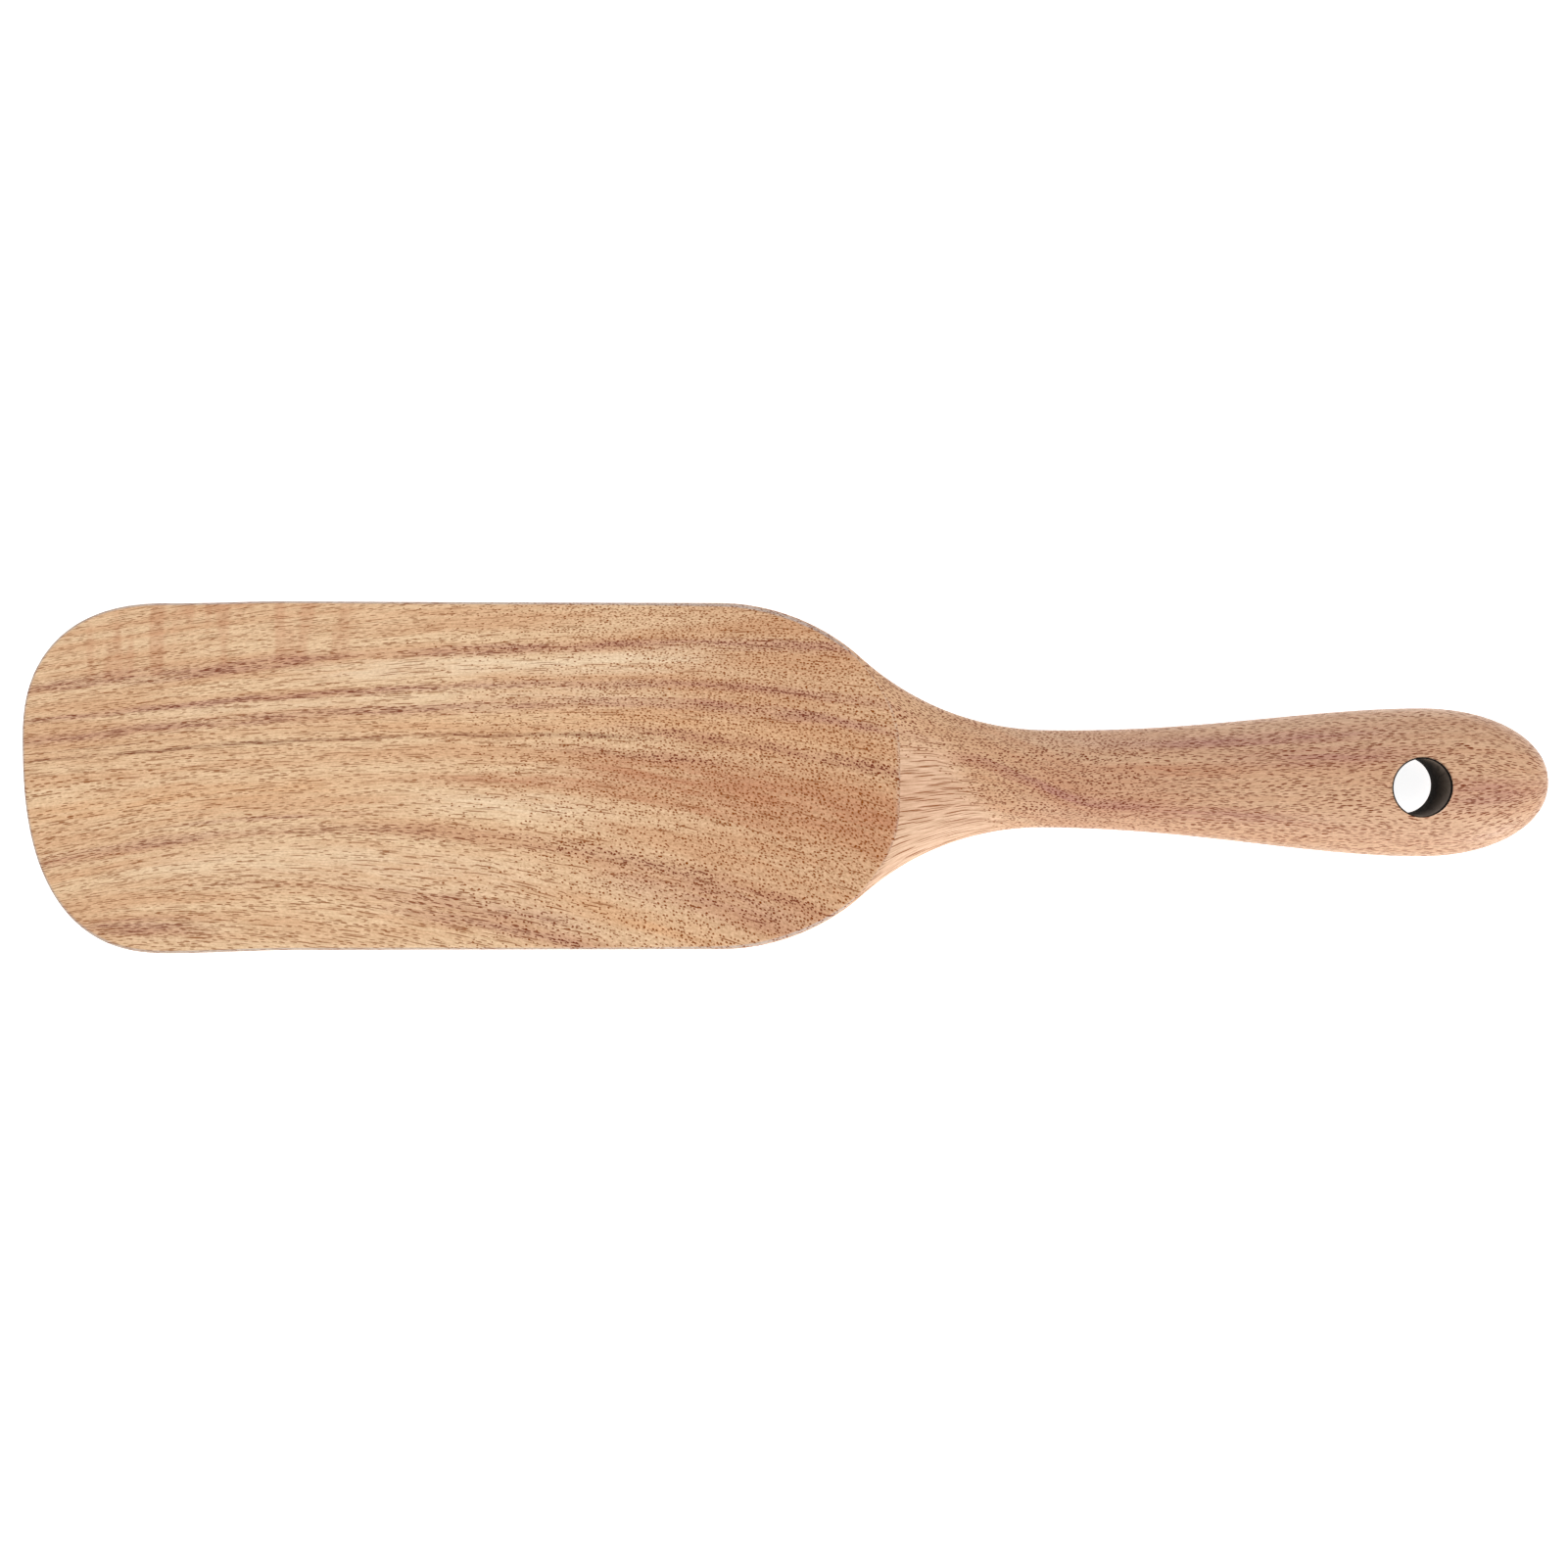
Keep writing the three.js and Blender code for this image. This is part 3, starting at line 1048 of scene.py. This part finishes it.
@dataclass
class SpatulaBody:
    """The carved board: blade, neck and handle in one piece, with its hanging hole."""

    form: CarvedForm
    figure: GrowthFigure
    stations: int = 430
    inner_rings: int = 30
    rim_round: float = 0.3
    wall_rings: int = 8
    round_rings: int = 4
    tip_foot: float = 18
    nose_hold: float = 20
    nose_foot: float = 24
    spine_bend: float = 20
    fan_lead: float = 9
    weld: float = 0.0005
    edge_shares: tuple[float, ...] = (
        0, 0.0001, 0.0004, 0.001, 0.002, 0.0035, 0.006, 0.009, 0.013, 0.018, 0.025, 0.036, 0.052, 0.075,
    )
    points: list[Array] = field(default_factory=list)
    quads: list[Array] = field(default_factory=list)
    on_wall: list[Array] = field(default_factory=list)

    def add_sheet(self, grid: Array, flip: bool, wall: bool = False) -> None:
        """Adds a grid of points and the quads between them.

        Args:
            grid: Points as rows of columns.
            flip: Whether the quads turn the other way.
            wall: Whether they belong to the hole's wall.
        """
        rows, columns = grid.shape[:2]
        base = sum(len(p) for p in self.points)
        index = base + np.arange(rows * columns).reshape(rows, columns)
        corners = [index[:-1, :-1], index[1:, :-1], index[1:, 1:], index[:-1, 1:]]
        quads = np.stack(corners[::-1] if flip else corners, axis=-1).reshape(-1, 4)
        self.points.append(grid.reshape(-1, 3))
        self.quads.append(quads)
        self.on_wall.append(np.full(len(quads), wall))

    def feet(self, middle_x: Array) -> tuple[dict[Side, Array], int]:
        """Inner ends of the rings' rays: along the spine, then round the hole's rim.

        Args:
            middle_x: Station of the outline at each step, as the mean of both sides.

        Returns:
            Plan points for each side, and the step where the rim starts.
        """
        form = self.form
        hole_x, hole_y = form.hole_centre
        rim = form.hole_diameter / 2 + self.rim_round
        near_x = hole_x - rim
        first = int(np.searchsorted(middle_x, near_x - self.fan_lead))
        knots = [form.tip_x, form.nose_x + self.nose_hold, form.neck_x, middle_x[first]]
        places = [form.tip_x + self.tip_foot, form.nose_x + self.nose_foot, form.neck_x, near_x]
        x = np.interp(middle_x, knots, places)
        y = blend(form.spine(x), hole_y, ease(x, near_x - self.spine_bend, near_x))
        angle = math.pi * (1 - np.clip((np.arange(len(x)) - first) / (len(x) - 1 - first), 0, 1))
        round_rim = np.arange(len(x)) >= first
        found: dict[Side, Array] = {}
        for side in Side:
            rim_x = hole_x + rim * np.cos(angle)
            rim_y = hole_y + side.value * rim * np.sin(angle)
            found[side] = np.column_stack([np.where(round_rim, rim_x, x), np.where(round_rim, rim_y, y)])
        return found, first

    def skin(self) -> tuple[Array, Array]:
        """Adds the top and bottom skins.

        Returns:
            Loops of the hole's rim on top and on the bottom.
        """
        form = self.form
        edges = {side: form.half_outline(side, self.stations) for side in Side}
        inner = np.linspace(self.edge_shares[-1], 1, self.inner_rings + 1)[1:]
        shares = np.concatenate([self.edge_shares, inner])
        feet, first = self.feet((edges[Side.LOW][:, 0] + edges[Side.HIGH][:, 0]) / 2)
        rims: dict[Face, list[Array]] = {face: [] for face in Face}
        for side in Side:
            inward = feet[side] - edges[side]
            plan = edges[side][:, None, :] + inward[:, None, :] * shares[None, :, None]
            x, y = plan[..., 0], plan[..., 1]
            reach = form.reach(x, y)
            reach[:, 0] = 1.0
            for face, z in zip(Face, form.heights(x, np.minimum(reach, 1.0))):
                grid = np.stack([x, y, z], axis=-1)
                self.add_sheet(grid, flip=(side is Side.LOW) == (face is Face.BOTTOM))
                rim = grid[first:, -1]
                rims[face].append(rim if side is Side.LOW else rim[::-1][1:])
        return np.concatenate(rims[Face.TOP]), np.concatenate(rims[Face.BOTTOM])

    def hole_wall(self, top: Array, bottom: Array) -> None:
        """Adds the hole's wall with its eased rims.

        Args:
            top: Loop of the rim on top.
            bottom: Loop of the rim on the bottom.
        """
        centre = np.array(self.form.hole_centre)
        outward = (top[:, :2] - centre) / np.linalg.norm(top[:, :2] - centre, axis=1)[:, None]
        radius = self.form.hole_diameter / 2
        turn = np.linspace(0, math.pi / 2, self.round_rings + 1)
        bulge = radius + self.rim_round * (1 - np.sin(turn))
        fall = self.rim_round * (1 - np.cos(turn))
        levels = np.linspace(0, 1, self.wall_rings + 1)[1:-1]
        low = bottom[:, 2] + self.rim_round
        high = top[:, 2] - self.rim_round
        eased = list(zip(bulge, fall))
        rings = [(r, top[:, 2] - f) for r, f in eased]
        rings += [(radius, blend(high, low, share)) for share in levels]
        rings += [(r, bottom[:, 2] + f) for r, f in eased[::-1]]
        loops = [np.column_stack([centre + outward * r, z]) for r, z in rings]
        loops[0], loops[-1] = top, bottom
        grid = np.stack(loops, axis=1)
        self.add_sheet(grid[:, :-self.round_rings], flip=True, wall=True)
        self.add_sheet(grid[:, -self.round_rings - 1:], flip=True)

    def build(self) -> bpy.types.Object:
        """Makes the body's mesh with its growth and fibre coordinates.

        Returns:
            The body.
        """
        top, bottom = self.skin()
        self.hole_wall(top, bottom)
        loose = np.concatenate(self.points)
        keys = np.round(loose / self.weld).astype(np.int64)
        _, kept, welded = np.unique(keys, axis=0, return_index=True, return_inverse=True)
        places = loose[kept]
        quads = welded.reshape(-1)[np.concatenate(self.quads)]
        mesh = bpy.data.meshes.new("carved_spatula")
        mesh.from_pydata((places * MM).tolist(), [], quads.tolist())
        mesh.polygons.foreach_set("material_index", np.concatenate(self.on_wall).astype(np.int32))
        mesh.polygons.foreach_set("use_smooth", np.ones(len(quads), bool))
        for carried, values in self.figure.coordinates(places, self.form).items():
            layer = mesh.attributes.new(carried.value, "FLOAT_VECTOR", "POINT")
            layer.data.foreach_set("vector", values.astype(np.float32).ravel())
        mesh.update()
        body = bpy.data.objects.new("carved_spatula", mesh)
        bpy.context.scene.collection.objects.link(body)
        return body

    def dress(self, body: bpy.types.Object) -> None:
        """Gives the body its finishes and joins it to the frame.

        Args:
            body: The body.
        """
        body.data.materials.append(WoodFinish(self.figure).material())
        body.data.materials.append(HoleFinish().material())
        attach(body, "root")
        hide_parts("spatula_body")


@dataclass(frozen=True)
class Lamp:
    """A soft square lamp that points at the middle of the spatula."""

    name: str
    place: tuple[float, float, float]
    width: float
    power: float
    tint: str

    def hang(self) -> None:
        """Puts the lamp in the scene."""
        light = bpy.data.lights.new(self.name, "AREA")
        light.size = self.width
        light.energy = self.power
        light.color = colour_of(self.tint)[:3]
        lamp = bpy.data.objects.new(self.name, light)
        lamp.location = self.place
        x, y, z = self.place
        flat = math.hypot(x, y)
        lamp.rotation_euler = (math.atan2(flat, z), 0.0, math.atan2(y, x) + math.pi / 2)
        bpy.context.scene.collection.objects.link(lamp)


@dataclass(frozen=True)
class Studio:
    """Pale floor, plain surroundings, soft lamps and the camera."""

    floor_width: float = 6.0
    floor_drop: float = 0.1 * MM
    floor_colour: str = "f2f2f2"
    floor_roughness: float = 0.9
    floor_glow: float = 0.85
    sky_strength: float = 0.61
    camera_place: tuple[float, float, float] = (0.81 * MM, 15.34 * MM, 540 * MM)
    camera_tilt: float = -1.78
    focal_pixels: float = 2558.0
    sensor_width: float = 36.0
    clip_start: float = 0.01
    lamps: tuple[Lamp, ...] = (
        Lamp("key_lamp", (0.58, -0.95, 0.80), 1.5, 13.8, "fefcfa"),
        Lamp("rim_lamp", (-0.2, 1.05, 0.60), 1.0, 4.2, "e9f0ff"),
        Lamp("low_lamp", (0.80, -0.85, 0.15), 0.32, 2.6, "e6f1ff"),
    )

    def lay_floor(self) -> None:
        """Lays the floor, which is white to the camera and still shows the shadow."""
        half = self.floor_width / 2
        z = -self.floor_drop
        mesh = bpy.data.meshes.new("studio_floor")
        corners = [(-half, -half, z), (half, -half, z), (half, half, z), (-half, half, z)]
        mesh.from_pydata(corners, [], [(0, 1, 2, 3)])
        floor = bpy.data.objects.new("studio_floor", mesh)
        bpy.context.scene.collection.objects.link(floor)
        sheet = NodeSheet(bpy.data.materials.new("pale_floor"))
        sheet.surface({
            "Base Color": self.floor_colour,
            "Roughness": self.floor_roughness,
            "Specular IOR Level": 0.0,
            "Emission Color": WHITE,
            "Emission Strength": sheet.times(sheet.seen_directly(), self.floor_glow),
        })
        mesh.materials.append(sheet.owner)

    def fill_sky(self) -> None:
        """Sets the plain surroundings."""
        sheet = NodeSheet(bpy.data.worlds.new("plain_surroundings"), "Background")
        strength = sheet.line(sheet.seen_directly(), 1.0 - self.sky_strength, self.sky_strength)
        sheet.surface({"Color": WHITE, "Strength": strength})
        bpy.context.scene.world = sheet.owner

    def set_camera(self) -> None:
        """Sets the camera above the blade, as the photograph was taken."""
        data = bpy.data.cameras.new("camera")
        data.sensor_width = self.sensor_width
        data.lens = self.sensor_width * self.focal_pixels / PHOTO_PIXELS
        data.clip_start = self.clip_start
        camera = bpy.data.objects.new("camera", data)
        camera.location = self.camera_place
        camera.rotation_euler = (math.radians(self.camera_tilt), 0.0, 0.0)
        bpy.context.scene.collection.objects.link(camera)
        bpy.context.scene.camera = camera

    def set_up(self) -> None:
        """Builds the whole studio."""
        self.lay_floor()
        self.fill_sky()
        for lamp in self.lamps:
            lamp.hang()
        self.set_camera()
        bpy.context.scene.view_settings.view_transform = "Standard"


def main() -> None:
    """Builds the spatula and its studio."""
    logging.basicConfig(level=logging.INFO, format="%(message)s")
    spatula = SpatulaBody(CarvedForm(), GrowthFigure())
    body = spatula.build()
    spatula.dress(body)
    log.info("%s: %d faces", body.name, len(body.data.polygons))
    Studio().set_up()
    log.info("studio set up")


if __name__ == "__main__":
    main()
